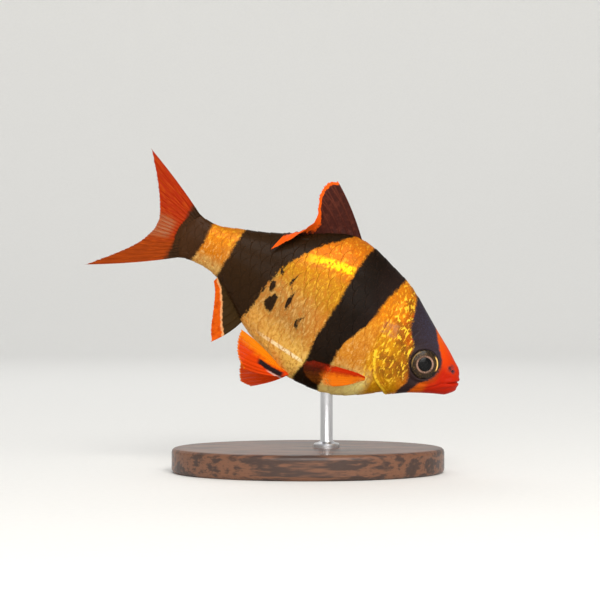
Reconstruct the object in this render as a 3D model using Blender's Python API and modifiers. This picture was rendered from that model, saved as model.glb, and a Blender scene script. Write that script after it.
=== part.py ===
"""A life-size tiger barb on a plain display stand.

The fish is built in its own frame, with the snout at the origin, the head towards +X, the back
towards +Z and the left flank towards +Y, and is then pitched head down and carried on the stand.
Distances behind the snout are measured backwards, so a place at 24 mm lies at X = -24 mm.
"""

import math

import bmesh
import bpy
import numpy as np
from mathutils import Matrix, Vector

MM = 0.001

# Driving sizes
STANDARD_LENGTH = 50.0 * MM  # snout to the end of the tail stalk
GAP = 0.3 * MM  # left between neighbouring pieces
PITCH = math.radians(27.0)  # head down
BELLY_HEIGHT = 12.6 * MM  # lowest point of the belly above the floor
UNIT = STANDARD_LENGTH / 50.0  # outlines are drawn for a fish of 50 units

# Outlines of the body, as (distance behind the snout, height) in units
BACK = [(0, 0.95), (1.0, 1.4), (3.6, 3.2), (7.1, 5.4), (10.4, 7.6), (13.6, 9.7), (17.7, 11.25),
        (21.6, 12.5), (25.0, 12.9), (28.5, 11.85), (33.0, 9.5), (38.0, 7.1), (42.3, 5.55),
        (46.6, 4.3), (48.6, 4.4), (50.2, 4.75)]
BELLY = [(0, -3.1), (1.2, -3.6), (3.2, -4.4), (6.3, -5.85), (9.7, -7.7), (13.0, -9.75), (16.0, -11.4),
         (19.3, -12.35), (24.4, -12.6), (28.5, -11.2), (35.0, -8.4), (38.6, -5.8), (42.0, -3.6),
         (45.6, -2.85), (48.0, -3.0), (50.2, -3.6)]
HALF_WIDTH = [(0, 1.75), (2.0, 2.2), (4.0, 2.75), (6.5, 3.25), (10, 3.75), (14, 4.2), (20, 4.65),
              (25, 4.6), (30, 4.05), (35, 3.2), (40, 2.35), (44, 1.7), (47, 1.25), (50.2, 0.75)]
WIDEST_HEIGHT = [(0, -1.0), (4, -1.0), (8, -1.4), (14, -2.2), (20, -2.4), (28, -1.2), (36, 0.2),
                 (42, 0.8), (50.2, 0.6)]
BACK_SHARPNESS = [(0, 0.95), (8, 1.0), (20, 1.12), (36, 1.1), (50.2, 1.0)]
BELLY_SHARPNESS = [(0, 0.95), (10, 0.9), (20, 0.82), (27, 0.95), (36, 1.1), (50.2, 1.0)]
SNOUT_ROUNDING = 1.25  # length over which the snout closes

# The gill opening, as (angle round the section in degrees, distance behind the snout);
# 90 degrees is the back, 0 the widest line and -90 the belly
GILL_EDGE = [(-90, 9.7), (-58, 10.7), (-25, 13.3), (8, 14.8), (25, 14.7), (50, 13.3), (90, 11.6)]
GILL_COVER_RELIEF = 0.3
TRUNK_END = 43.5
TAIL_STALK_BOW = 1.5  # how far the middle of the scaled tail base reaches past its edges
HEAD_REACH = 14.0  # distance over which the head's rings take on the lean of the gill opening
HEAD_WARP_START = 5.0
HEAD_END = (13.0, -1.0)  # middle of the head's rear face, as (behind, height)
TRUNK_START = (13.3, -1.0)
STALK_MIDDLE = 0.6  # height of the middle of the tail stalk's end faces
STALK_END_BULGE = 0.4

AROUND = 48  # points round each ring of the body
HEAD_RINGS = 26
TRUNK_RINGS = 24
STALK_RINGS = 8
TRUNK_SINK = 0.12  # the trunk starts this much thinner, behind the raised gill cover

# Head details
EYE_PLACE = (6.0, -0.6)
EYE_RADIUS = 2.2
EYE_DEPTH = 1.45
EYE_STANDS_OUT = 0.62
ORBIT_RIM = 0.16
CHEEK_RADIUS = 4.6  # from the middle of the eye; the gill cover stands out beyond it
MOUTH_CENTRE = (0.35, -0.95)
MOUTH_SLOPE = math.radians(31)
MOUTH_SIZE = (2.1, 3.1, 0.15)
LIP_RELIEF = 0.17
NOSTRIL_PLACE = (1.95, 0.55)
NOSTRIL_RADIUS = 0.32

# Fins: thickness of the membrane and of the rays where they are thickest
MEMBRANE = 0.5
RAY = 0.76
TIP_SHARE = 0.62  # of the thickness that is left at a fin's margin
SCALLOP = 0.035  # how much shorter the membrane is than the rays beside it

# Stand
BASE_LENGTH = 44 * MM
BASE_WIDTH = 27 * MM
BASE_THICKNESS = 4 * MM
BASE_BEVEL = 0.7 * MM
ROD_RADIUS = 1.0 * MM
ROD_PLACE = 18.0  # distance behind the snout where the rod meets the belly
ROD_AHEAD = 3 * MM  # of the middle of the base
ROD_REACH = 2 * MM  # past the belly, before the trunk is cut out of the rod

COLOURS = {
    "scales": ((0.78, 0.47, 0.14, 1), 0.35, 0.25),
    "snout": ((0.72, 0.12, 0.02, 1), 0.35, 0.1),
    "band": ((0.02, 0.018, 0.016, 1), 0.4, 0.0),
    "red_fin": ((0.8, 0.16, 0.02, 1), 0.45, 0.0),
    "eye": ((0.03, 0.025, 0.02, 1), 0.08, 0.0),
    "wood": ((0.09, 0.045, 0.025, 1), 0.5, 0.0),
    "steel": ((0.6, 0.6, 0.62, 1), 0.3, 1.0),
}


def smooth_line(points):
    """A curve through the points, without overshoot, as a function of the first number."""
    x, y = (np.array(column, float) for column in zip(*points))
    step = np.diff(x)
    slope = np.diff(y) / step
    tangent = np.concatenate([slope[:1], (slope[1:] + slope[:-1]) / 2, slope[-1:]])
    tangent[1:-1][slope[1:] * slope[:-1] <= 0] = 0
    for i, s in enumerate(slope):
        reach = 3 * abs(s)
        tangent[i] = np.clip(tangent[i], -reach, reach)
        tangent[i + 1] = np.clip(tangent[i + 1], -reach, reach)

    def line(at):
        at = np.clip(at, x[0], x[-1])
        i = np.clip(np.searchsorted(x, at) - 1, 0, len(slope) - 1)
        t = (at - x[i]) / step[i]
        return ((2 * t**3 - 3 * t**2 + 1) * y[i] + (t**3 - 2 * t**2 + t) * step[i] * tangent[i]
                + (3 * t**2 - 2 * t**3) * y[i + 1] + (t**3 - t**2) * step[i] * tangent[i + 1])

    return line


def ease(low, high, value):
    """0 below low, 1 above high, and smooth between."""
    t = np.clip((value - low) / (high - low), 0, 1)
    return t * t * (3 - 2 * t)


back, belly, half_width, widest_height = map(smooth_line, (BACK, BELLY, HALF_WIDTH, WIDEST_HEIGHT))
back_sharpness, belly_sharpness = map(smooth_line, (BACK_SHARPNESS, BELLY_SHARPNESS))
gill_edge = smooth_line(GILL_EDGE)


def head_relief(behind, height):
    """How far the head's surface stands out: lips, the rim of the orbit and the gill cover."""
    from_eye = np.hypot(behind - EYE_PLACE[0], height - EYE_PLACE[1])
    rim = ORBIT_RIM * np.exp(-(((from_eye - EYE_RADIUS - 0.35) / 0.45) ** 2))
    cover = GILL_COVER_RELIEF * ease(CHEEK_RADIUS, CHEEK_RADIUS + 0.9, from_eye) * ease(6, 9, behind)
    cover = cover * ease(6.5, 3.0, height)
    mouth_line = MOUTH_CENTRE[1] - (behind - MOUTH_CENTRE[0]) * math.tan(MOUTH_SLOPE)
    lips = LIP_RELIEF * np.exp(-(((np.abs(height - mouth_line) - 0.42) / 0.3) ** 2))
    return rim + cover + lips * ease(2.9, 1.6, behind)


def flank(behind, angle, relief=False):
    """A point of the skin, in units: distance behind the snout, sideways, height."""
    cap = np.sqrt(1 - (1 - np.clip(behind / SNOUT_ROUNDING, 0, 1)) ** 2)
    middle = widest_height(behind)
    up, down = back(behind) - middle, middle - belly(behind)
    sine, cosine = np.sin(angle), np.cos(angle)
    sharpness = np.where(sine > 0, back_sharpness(behind), belly_sharpness(behind))
    side = half_width(behind) * np.abs(cosine) ** sharpness * cap
    height = middle + np.where(sine > 0, up, down) * sine * cap
    if relief:
        side = side + head_relief(behind, height) * np.abs(cosine) ** 0.6
    return behind, side * np.sign(cosine), height


def ring_angles():
    return np.arange(AROUND) * 2 * math.pi / AROUND


def edge_behind(angle):
    """Distance behind the snout of the gill opening, at this angle round the body."""
    return gill_edge(np.degrees(np.arcsin(np.sin(angle))))


def in_fish(behind, side, height):
    """Units to metres in the fish's frame."""
    return Vector((-float(behind) * UNIT, float(side) * UNIT, float(height) * UNIT))


def head_rings():
    angle = ring_angles()
    rings = []
    for i in range(1, HEAD_RINGS + 1):
        share = i / HEAD_RINGS
        plain = HEAD_REACH * (0.35 * (1 - math.cos(share * math.pi / 2)) + 0.65 * share**1.25)
        lean = ease(HEAD_WARP_START, HEAD_REACH, plain)
        behind = plain * (1 - lean + lean * edge_behind(angle) / HEAD_REACH)
        rings.append(flank(behind, angle, relief=True))
    return rings


def trunk_rings(grow=0.0):
    """Rings of the trunk; grow makes it fatter all over, for cutting what meets it."""
    angle = ring_angles()
    rings = []
    gap = GAP / UNIT
    for i in range(TRUNK_RINGS + 1):
        share = i / TRUNK_RINGS
        start = edge_behind(angle) + gap
        behind = start + (TRUNK_END - start) * share
        _, side, height = flank(behind, angle)
        sink = TRUNK_SINK * (1 - ease(0.0, 0.12, share)) - grow
        side = side - sink * np.cos(angle)
        height = height + grow * np.sin(angle)
        rings.append((behind, side, height))
    return rings


def stalk_rings():
    angle = ring_angles()
    start = TRUNK_END + GAP / UNIT
    end = STANDARD_LENGTH / UNIT + TAIL_STALK_BOW * np.cos(angle) ** 2
    shares = (i / STALK_RINGS for i in range(STALK_RINGS + 1))
    return [flank(start + (end - start) * share, angle) for share in shares]


def loft(name, rings, front, rear, material):
    """A closed body through the rings, each end drawn to a point given as (behind, height)."""
    mesh = bmesh.new()
    loops = []
    for behind, side, height in rings:
        along = np.broadcast_to(behind, (AROUND,))
        loops.append([mesh.verts.new(in_fish(*point)) for point in zip(along, side, height)])
    for near, far in zip(loops, loops[1:]):
        for j in range(AROUND):
            k = (j + 1) % AROUND
            mesh.faces.new((near[j], near[k], far[k], far[j]))
    for loop, (behind, height), turn in ((loops[0], front, 1), (loops[-1], rear, -1)):
        middle = mesh.verts.new(in_fish(behind, 0, height))
        for j in range(AROUND):
            mesh.faces.new((middle, loop[(j + 1) % AROUND], loop[j])[::turn])
    bmesh.ops.recalc_face_normals(mesh, faces=mesh.faces)
    return as_object(name, mesh, material)


def as_object(name, mesh, material, smooth=True):
    data = bpy.data.meshes.new(name)
    mesh.to_mesh(data)
    mesh.free()
    if smooth:
        data.shade_smooth()
        data.set_sharp_from_angle(angle=math.radians(40))
    thing = bpy.data.objects.new(name, data)
    fish_parts.objects.link(thing)
    if material:
        data.materials.append(finishes[material])
    return thing


def ball(name, place, radii, turn=0.0, segments=24, rows=14, material=None):
    """An ellipsoid at a place given in units, tipped by turn about the sideways axis."""
    mesh = bmesh.new()
    bmesh.ops.create_uvsphere(mesh, u_segments=segments, v_segments=rows, radius=1.0)
    size = Matrix.Diagonal((*(r * UNIT for r in radii), 1.0))
    spin = Matrix.Rotation(math.pi / 2, 4, "X") if material else Matrix.Identity(4)
    mesh.transform(Matrix.Translation(in_fish(*place)) @ Matrix.Rotation(turn, 4, "Y") @ size @ spin)
    return as_object(name, mesh, material)


def cut(thing, cutter):
    """Takes the cutter out of thing and puts the cutter among the hidden helpers."""
    modifier = thing.modifiers.new("cut_" + cutter.name, "BOOLEAN")
    modifier.operation = "DIFFERENCE"
    modifier.solver = "EXACT"
    modifier.object = cutter
    fish_parts.objects.unlink(cutter)
    cutters.objects.link(cutter)
    cutter.hide_render = True
    cutter.display_type = "WIRE"


def surface_at(behind, height, side):
    """Sideways place of the skin at this height; side is 1 on the left and -1 on the right."""
    middle = float(widest_height(behind))
    reach = float(back(behind)) - middle if height > middle else middle - float(belly(behind))
    angle = math.asin(max(-1.0, min(1.0, (height - middle) / reach)))
    return side * float(flank(behind, angle)[1])


def build_head():
    head = loft("head", head_rings(), (0.0, HEAD_END[1]), HEAD_END, "snout")
    for side, label in ((1, "left"), (-1, "right")):
        out = surface_at(*EYE_PLACE, side) + side * (EYE_STANDS_OUT - EYE_DEPTH)
        place = (EYE_PLACE[0], out, EYE_PLACE[1])
        ball(f"eye_{label}", place, (EYE_RADIUS, EYE_DEPTH, EYE_RADIUS), material="eye", rows=10)
        grown = [r + GAP / UNIT for r in (EYE_RADIUS, EYE_DEPTH, EYE_RADIUS)]
        cut(head, ball(f"socket_{label}", place, grown, rows=12))
        nostril = (NOSTRIL_PLACE[0], surface_at(*NOSTRIL_PLACE, side), NOSTRIL_PLACE[1])
        cut(head, ball(f"nostril_{label}", nostril, (NOSTRIL_RADIUS,) * 3, segments=8, rows=6))
    mouth_at = (MOUTH_CENTRE[0], 0, MOUTH_CENTRE[1])
    cut(head, ball("mouth", mouth_at, MOUTH_SIZE, turn=-MOUTH_SLOPE, segments=28, rows=6))


def build_trunk_and_stalk():
    loft("trunk", trunk_rings(), TRUNK_START, (TRUNK_END, STALK_MIDDLE), "scales")
    end = STANDARD_LENGTH / UNIT + STALK_END_BULGE
    loft("tail_stalk", stalk_rings(), (TRUNK_END + GAP / UNIT, STALK_MIDDLE), (end, STALK_MIDDLE), "band")


def fin(name, place, rays, rows, material):
    """A fin from place(across, out), both from 0 to 1, that gives units; out 1 is the margin.

    Every second column of the grid is a ray: it is thicker and reaches past the membrane.
    """
    columns = 2 * rays - 1
    mesh = bmesh.new()
    bmesh.ops.create_grid(mesh, x_segments=columns - 1, y_segments=rows - 1, size=1.0)
    thickness = []
    for v in mesh.verts:
        across, out = (v.co.x + 1) / 2, (v.co.y + 1) / 2
        on_ray = round(across * (columns - 1)) % 2 == 0
        reach = out if on_ray else out * (1 - SCALLOP * out)
        v.co = in_fish(*place(across, reach))
        full = RAY if on_ray else MEMBRANE
        thickness.append(full * (1 - (1 - TIP_SHARE) * out**3) / RAY)
    bmesh.ops.triangulate(mesh, faces=mesh.faces, quad_method="FIXED")
    thing = as_object(name, mesh, material)
    group = thing.vertex_groups.new(name="thickness")
    for i, share in enumerate(thickness):
        group.add([i], share, "REPLACE")
    shell = thing.modifiers.new("thickness", "SOLIDIFY")
    shell.thickness = RAY * UNIT
    shell.offset = 0.0
    shell.vertex_group = "thickness"
    shell.thickness_vertex_group = 0.0
    return thing


def bent_ray(root, bend, tip, out):
    """A point on a quadratic curve from root to tip."""
    ways = zip(root, bend, tip)
    return tuple((1 - out) ** 2 * a + 2 * out * (1 - out) * b + out**2 * c for a, b, c in ways)


def line_through(points):
    """A smooth path through points, evenly shared between 0 and 1, one curve a coordinate."""
    last = len(points) - 1
    curves = [smooth_line([(i / last, value) for i, value in enumerate(ways)]) for ways in zip(*points)]
    return lambda share: tuple(float(curve(share)) for curve in curves)


# Dorsal fin: the first rays stand up, the last ones hang over the right flank
DORSAL_BASE = (24.2, 34.9)
DORSAL_TIPS = line_through([(32.6, 0, 19.1), (33.7, -0.1, 17.6), (33.8, -0.5, 16.0), (33.0, -1.2, 14.4),
                            (32.3, -2.4, 12.2), (33.1, -3.3, 9.9), (34.6, -3.7, 7.2), (36.5, -3.6, 4.5)])
DORSAL_BENDS = line_through([(28.3, 0, 17.7), (29.5, 0, 16.7), (30.4, -0.1, 15.5), (31.0, -0.4, 13.7),
                             (31.5, -0.9, 12.2), (32.4, -1.6, 11.0), (33.8, -2.2, 9.8), (35.6, -2.6, 8.5)])


def dorsal_point(across, out):
    root_at = DORSAL_BASE[0] + (DORSAL_BASE[1] - DORSAL_BASE[0]) * across
    bend = DORSAL_BENDS(across)
    root_height = float(back(root_at)) + GAP / UNIT
    lying = abs(bend[1]) / math.hypot(bend[1], bend[2] - root_height)
    root = (root_at, 0.0, root_height + RAY / 2 * lying)
    return bent_ray(root, bend, DORSAL_TIPS(across), out)


# Caudal fin, each lobe from its outer edge to the middle of the fork
CAUDAL_ROOT = (STANDARD_LENGTH + GAP) / UNIT
UPPER_TIPS = line_through([(60.9, 10.1), (58.6, 7.1), (57.0, 4.7), (55.8, 2.7), (55.0, 1.2), (54.5, 0.25)])
LOWER_TIPS = line_through([(62.5, -11.3), (59.7, -8.3), (57.6, -5.9), (56.0, -3.7), (55.0, -1.9),
                           (54.5, -0.55)])
CAUDAL_EDGE = {"upper": (4.55, 0.45), "lower": (-3.35, -0.15)}
CAUDAL_CLEARANCE = 0.05  # on top of the gap, where the bowed tail base bulges


def caudal_point(lobe):
    outer, inner = CAUDAL_EDGE[lobe]
    tips = UPPER_TIPS if lobe == "upper" else LOWER_TIPS
    bow_middle = (CAUDAL_EDGE["upper"][0] + CAUDAL_EDGE["lower"][0]) / 2
    bow_reach = (CAUDAL_EDGE["upper"][0] - CAUDAL_EDGE["lower"][0]) / 2

    def place(across, out):
        height = outer + (inner - outer) * across
        bow = TAIL_STALK_BOW * (1 - ((height - bow_middle) / bow_reach) ** 2)
        root = (CAUDAL_ROOT + bow + CAUDAL_CLEARANCE, 0.0, height)
        end = tips(across)
        bend = (root[0] + 0.42 * (end[0] - root[0]), 0.0, root[2] + 0.5 * (end[1] - root[2]))
        return bent_ray(root, bend, (end[0], 0.0, end[1]), out)

    return place


# Anal fin
ANAL_BASE = (35.4, 42.2)
ANAL_TIPS = line_through([(38.5, -13.1), (39.5, -11.2), (40.4, -9.2), (41.3, -7.2), (42.4, -5.3),
                          (43.7, -3.9)])


def anal_point(across, out):
    root_at = ANAL_BASE[0] + (ANAL_BASE[1] - ANAL_BASE[0]) * across
    root = (root_at, 0.0, float(belly(root_at)) - GAP / UNIT)
    end = ANAL_TIPS(across)
    bend = (root[0] + 0.25 * (end[0] - root[0]), 0.0, root[2] + 0.5 * (end[1] - root[2]))
    return bent_ray(root, bend, (end[0], 0.0, end[1]), out)


# Pelvic fins: the right one lies back along the belly, the left one hangs lower and further out
PELVIC_BASE = [(24.9, -12.15), (26.9, -11.7)]
PELVIC_DROP = 0.45  # the root's depth under the belly's side
PELVIC_TIPS = {
    "right": line_through([(32.0, -14.3, 3.2), (33.2, -13.3, 3.7), (34.2, -12.0, 3.9), (34.6, -10.6, 3.8),
                           (34.4, -9.3, 3.5)]),
    "left": line_through([(29.6, -16.9, 4.4), (31.2, -17.0, 5.2), (32.2, -15.9, 5.7), (32.7, -14.4, 5.8),
                          (32.5, -12.8, 5.5)]),
}


def pelvic_point(label, side):
    tips = PELVIC_TIPS[label]

    def place(across, out):
        (x0, z0), (x1, z1) = PELVIC_BASE
        at, height = x0 + (x1 - x0) * across, z0 + (z1 - z0) * across
        out_from = abs(surface_at(at, height, side))
        root = (at, side * (out_from + GAP / UNIT), height - PELVIC_DROP)
        behind, low, wide = tips(across)
        bend = (at + 0.3 * (behind - at), side * (out_from + 1.3), height - 1.1 + 0.25 * (low - height))
        return bent_ray(root, bend, (behind, side * wide, low), out)

    return place


# Pectoral fins
PECTORAL_BASE = [(14.3, -6.3), (13.6, -7.7)]
PECTORAL_TIPS = line_through([(22.9, -8.1, 6.7), (23.8, -9.1, 6.8), (23.4, -10.1, 6.6), (22.0, -10.8, 6.3),
                              (20.0, -11.1, 5.9), (17.8, -10.8, 5.5)])


def pectoral_point(side):
    def place(across, out):
        (x0, z0), (x1, z1) = PECTORAL_BASE
        at, height = x0 + (x1 - x0) * across, z0 + (z1 - z0) * across
        on_skin = abs(surface_at(at, height, side))
        root = (at, side * (on_skin + GAP / UNIT), height)
        behind, low, wide = PECTORAL_TIPS(across)
        bend = (at + 0.3 * (behind - at), side * (on_skin + 1.5), height + 0.4 * (low - height))
        return bent_ray(root, bend, (behind, side * wide, low), out)

    return place


def build_fins():
    fin("dorsal_fin", dorsal_point, rays=10, rows=9, material="band")
    fin("caudal_fin_upper", caudal_point("upper"), rays=9, rows=9, material="red_fin")
    fin("caudal_fin_lower", caudal_point("lower"), rays=9, rows=9, material="red_fin")
    fin("anal_fin", anal_point, rays=8, rows=7, material="red_fin")
    for side, label in ((1, "left"), (-1, "right")):
        fin(f"pelvic_fin_{label}", pelvic_point(label, side), rays=8, rows=8, material="red_fin")
        fin(f"pectoral_fin_{label}", pectoral_point(side), rays=10, rows=8, material="red_fin")


def build_stand(fish_to_world):
    """An oval base and one rod that ends against the belly."""
    bpy.ops.mesh.primitive_cylinder_add(vertices=96, radius=0.5, depth=1.0)
    base = bpy.context.object
    base.name = base.data.name = "stand_base"
    base.data.transform(Matrix.Diagonal((BASE_LENGTH, BASE_WIDTH, BASE_THICKNESS, 1.0)))
    base.location.z = BASE_THICKNESS / 2
    bevel = base.modifiers.new("edge", "BEVEL")
    bevel.width = BASE_BEVEL
    bevel.segments = 3
    base.data.materials.append(finishes["wood"])

    foot = BASE_THICKNESS + GAP
    belly_at = fish_to_world @ in_fish(ROD_PLACE, 0, float(belly(ROD_PLACE)))
    top = belly_at.z + ROD_REACH
    middle = (belly_at.x, 0, (top + foot) / 2)
    bpy.ops.mesh.primitive_cylinder_add(vertices=20, radius=ROD_RADIUS, depth=top - foot, location=middle)
    rod = bpy.context.object
    rod.name = rod.data.name = "stand_rod"
    rod.data.materials.append(finishes["steel"])
    cut(rod, loft("rod_seat", trunk_rings(GAP / UNIT), HEAD_END, (TRUNK_END, STALK_MIDDLE), None))
    for thing in (base, rod):
        bpy.context.collection.objects.unlink(thing)
        stand_parts.objects.link(thing)


def finish(name, colour, roughness, metallic):
    material = bpy.data.materials.new(name)
    material.use_nodes = True
    shader = material.node_tree.nodes["Principled BSDF"]
    shader.inputs["Base Color"].default_value = colour
    shader.inputs["Roughness"].default_value = roughness
    shader.inputs["Metallic"].default_value = metallic
    material.diffuse_color = colour
    return material


for old in list(bpy.data.objects):
    bpy.data.objects.remove(old)
fish_parts = bpy.data.collections.new("tiger_barb")
stand_parts = bpy.data.collections.new("stand")
cutters = bpy.data.collections.new("cutters")
for group in (fish_parts, stand_parts, cutters):
    bpy.context.scene.collection.children.link(group)
finishes = {name: finish(name, *look) for name, look in COLOURS.items()}

pitch = Matrix.Rotation(PITCH, 4, "Y")
rod_foot = pitch @ in_fish(ROD_PLACE, 0, float(belly(ROD_PLACE)))
fish_to_world = Matrix.Translation((ROD_AHEAD - rod_foot.x, 0, BELLY_HEIGHT - rod_foot.z)) @ pitch
carrier = bpy.data.objects.new("fish", None)
fish_parts.objects.link(carrier)
carrier.matrix_world = fish_to_world

build_head()
build_trunk_and_stalk()
build_fins()
build_stand(fish_to_world)
for piece in list(fish_parts.objects) + list(cutters.objects):
    if piece is not carrier:
        piece.parent = carrier
bpy.context.view_layer.update()
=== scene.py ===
import math

import bpy
import numpy as np
from mathutils import Matrix, Vector


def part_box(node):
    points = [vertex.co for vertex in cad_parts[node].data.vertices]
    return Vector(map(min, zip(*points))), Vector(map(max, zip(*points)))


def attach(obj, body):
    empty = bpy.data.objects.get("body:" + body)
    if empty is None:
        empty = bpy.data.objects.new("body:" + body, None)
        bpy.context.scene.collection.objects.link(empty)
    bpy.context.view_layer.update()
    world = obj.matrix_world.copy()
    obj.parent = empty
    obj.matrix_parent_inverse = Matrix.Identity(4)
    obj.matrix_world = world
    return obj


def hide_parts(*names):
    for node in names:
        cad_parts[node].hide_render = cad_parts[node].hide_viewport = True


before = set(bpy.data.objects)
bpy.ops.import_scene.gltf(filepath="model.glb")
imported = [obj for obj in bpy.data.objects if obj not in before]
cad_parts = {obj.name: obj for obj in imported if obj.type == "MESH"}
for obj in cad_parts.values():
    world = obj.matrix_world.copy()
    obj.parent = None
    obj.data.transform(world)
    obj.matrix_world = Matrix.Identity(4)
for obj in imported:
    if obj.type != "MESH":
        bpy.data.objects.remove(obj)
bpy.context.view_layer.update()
print("frame loaded:", len(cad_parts), "solids")

mm = 0.001
rng = np.random.default_rng(7)

# The fish has a frame of its own, in mm: behind the snout, towards its left side, and up
fish = {
    "pitch": math.radians(27),  # head down
    "eyePlace": (6.0, -0.6),  # behind and up, from the tip of the snout
    "length": 50.0,  # to the end of the tail stalk
    "back": [(0, 0.95), (1.0, 1.4), (3.6, 3.2), (7.1, 5.4), (10.4, 7.6), (13.6, 9.7), (17.7, 11.25),
             (21.6, 12.5), (25.0, 12.9), (28.5, 11.85), (33.0, 9.5), (38.0, 7.1), (42.3, 5.55),
             (46.6, 4.3), (48.6, 4.4), (50.2, 4.75)],
    "belly": [(0, -3.1), (1.2, -3.6), (3.2, -4.4), (6.3, -5.85), (9.7, -7.7), (13.0, -9.75), (16.0, -11.4),
              (19.3, -12.35), (24.4, -12.6), (28.5, -11.2), (35.0, -8.4), (38.6, -5.8), (42.0, -3.6),
              (45.6, -2.85), (48.0, -3.0), (50.2, -3.6)],
    "halfWidth": [(0, 1.75), (2.0, 2.2), (4.0, 2.75), (6.5, 3.25), (10, 3.75), (14, 4.2), (20, 4.65),
                  (25, 4.6), (30, 4.05), (35, 3.2), (40, 2.35), (44, 1.7), (47, 1.25), (50.2, 0.75)],
    "widest": [(0, -1.0), (4, -1.0), (8, -1.4), (14, -2.2), (20, -2.4), (28, -1.2), (36, 0.2),
               (42, 0.8), (50.2, 0.6)],
    "backSharpness": [(0, 0.95), (8, 1.0), (20, 1.12), (36, 1.1), (50.2, 1.0)],
    "bellySharpness": [(0, 0.95), (10, 0.9), (20, 0.82), (27, 0.95), (36, 1.1), (50.2, 1.0)],
    "snoutRounding": 1.25,
    # the gill opening: angle round the body, 90 at the back and -90 at the belly, and place behind
    "gillEdge": [(-90, 9.7), (-58, 10.7), (-25, 13.3), (8, 14.8), (25, 14.7), (50, 13.3), (90, 11.6)],
    "tailBow": 1.5,  # how far the scaled tail base reaches past its edges
    "tailTaper": 1.6,
    "coatDepth": 0.24,  # the skin lies this far inside, under the scales
    "jaw": (-2.1, 0.9, 0.4),  # height of the lower jaw's front, its half height, how far it juts
    "jawLength": 2.6,
}


def smoothLine(points):
    x, y = (np.array(column, float) for column in zip(*points))
    step = np.diff(x)
    slope = np.diff(y) / step
    tangent = np.concatenate([slope[:1], (slope[1:] + slope[:-1]) / 2, slope[-1:]])
    tangent[1:-1][slope[1:] * slope[:-1] <= 0] = 0
    for i, s in enumerate(slope):
        reach = 3 * abs(s)
        tangent[i] = np.clip(tangent[i], -reach, reach)
        tangent[i + 1] = np.clip(tangent[i + 1], -reach, reach)

    def line(at):
        at = np.clip(at, x[0], x[-1])
        i = np.clip(np.searchsorted(x, at) - 1, 0, len(slope) - 1)
        t = (at - x[i]) / step[i]
        return ((2 * t**3 - 3 * t**2 + 1) * y[i] + (t**3 - 2 * t**2 + t) * step[i] * tangent[i]
                + (3 * t**2 - 2 * t**3) * y[i + 1] + (t**3 - t**2) * step[i] * tangent[i + 1])

    return line


def lineThrough(points):  # a smooth path through points that share 0 to 1 evenly
    share = np.linspace(0, 1, len(points))
    ways = [smoothLine(list(zip(share, column))) for column in zip(*points)]
    return lambda at: np.stack([way(at) for way in ways], -1)


def ease(low, high, value):
    t = np.clip((value - low) / (high - low), 0, 1)
    return t * t * (3 - 2 * t)


def hump(distance, width):
    return np.exp(-((distance / width) ** 2))


def unit(vectors):
    return vectors / np.maximum(np.linalg.norm(vectors, axis=-1, keepdims=True), 1e-12)


outline = {key: smoothLine(fish[key]) for key in
           ("back", "belly", "halfWidth", "widest", "backSharpness", "bellySharpness", "gillEdge")}
turnBack = Matrix.Rotation(fish["pitch"], 3, "Y")
eyeLow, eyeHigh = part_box("eye_right")
eyeBehind, eyeUp = fish["eyePlace"]  # the solids' own place of the eye
snout = Vector(((eyeLow.x + eyeHigh.x) / 2, 0, (eyeLow.z + eyeHigh.z) / 2))
snout -= turnBack @ Vector((-eyeBehind * mm, 0, eyeUp * mm))


def toWorld(place):  # places in the fish's frame, in mm, to metres in the scene
    local = np.asarray(place, float) * (-mm, mm, mm)
    return local @ np.array(turnBack).T + np.array(snout)


def tailEnd(turn):
    return fish["length"] + fish["tailBow"] * np.cos(turn) ** 2


def section(behind, turn):
    # a point of the smooth body: turn is the angle round it, 0 at the left side, a quarter up at the back
    cap = np.sqrt(1 - (1 - np.clip(behind / fish["snoutRounding"], 0, 1)) ** 2)
    taper = np.sqrt(np.clip((tailEnd(turn) - behind) / fish["tailTaper"], 0.01, 1))
    middle = outline["widest"](behind)
    up, down = outline["back"](behind) - middle, middle - outline["belly"](behind)
    sine, cosine = np.sin(turn), np.cos(turn)
    sharpness = np.where(sine > 0, outline["backSharpness"](behind), outline["bellySharpness"](behind))
    side = outline["halfWidth"](behind) * np.abs(cosine) ** sharpness * cap * taper * np.sign(cosine)
    height = middle + np.where(sine > 0, up, down) * sine * cap
    jawHeight, jawHalf, jut = fish["jaw"]
    behind = behind - jut * hump(height - jawHeight, jawHalf) * ease(fish["jawLength"], 0, behind)
    return np.stack(np.broadcast_arrays(behind, side, height), -1)


def normalAt(behind, turn):
    along = section(behind + 0.05, turn) - section(behind - 0.05, turn)
    around = section(behind, turn + 0.02) - section(behind, turn - 0.02)
    return unit(np.cross(around, along))


def edgeAt(turn):  # place of the gill opening at this angle
    return outline["gillEdge"](np.degrees(np.arcsin(np.sin(turn))))


def turnAt(behind, height):  # the angle on the left side that has this height
    middle = outline["widest"](behind)
    reach = np.where(height > middle, outline["back"](behind) - middle, middle - outline["belly"](behind))
    return np.arcsin(np.clip((height - middle) / reach, -1, 1))


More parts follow.
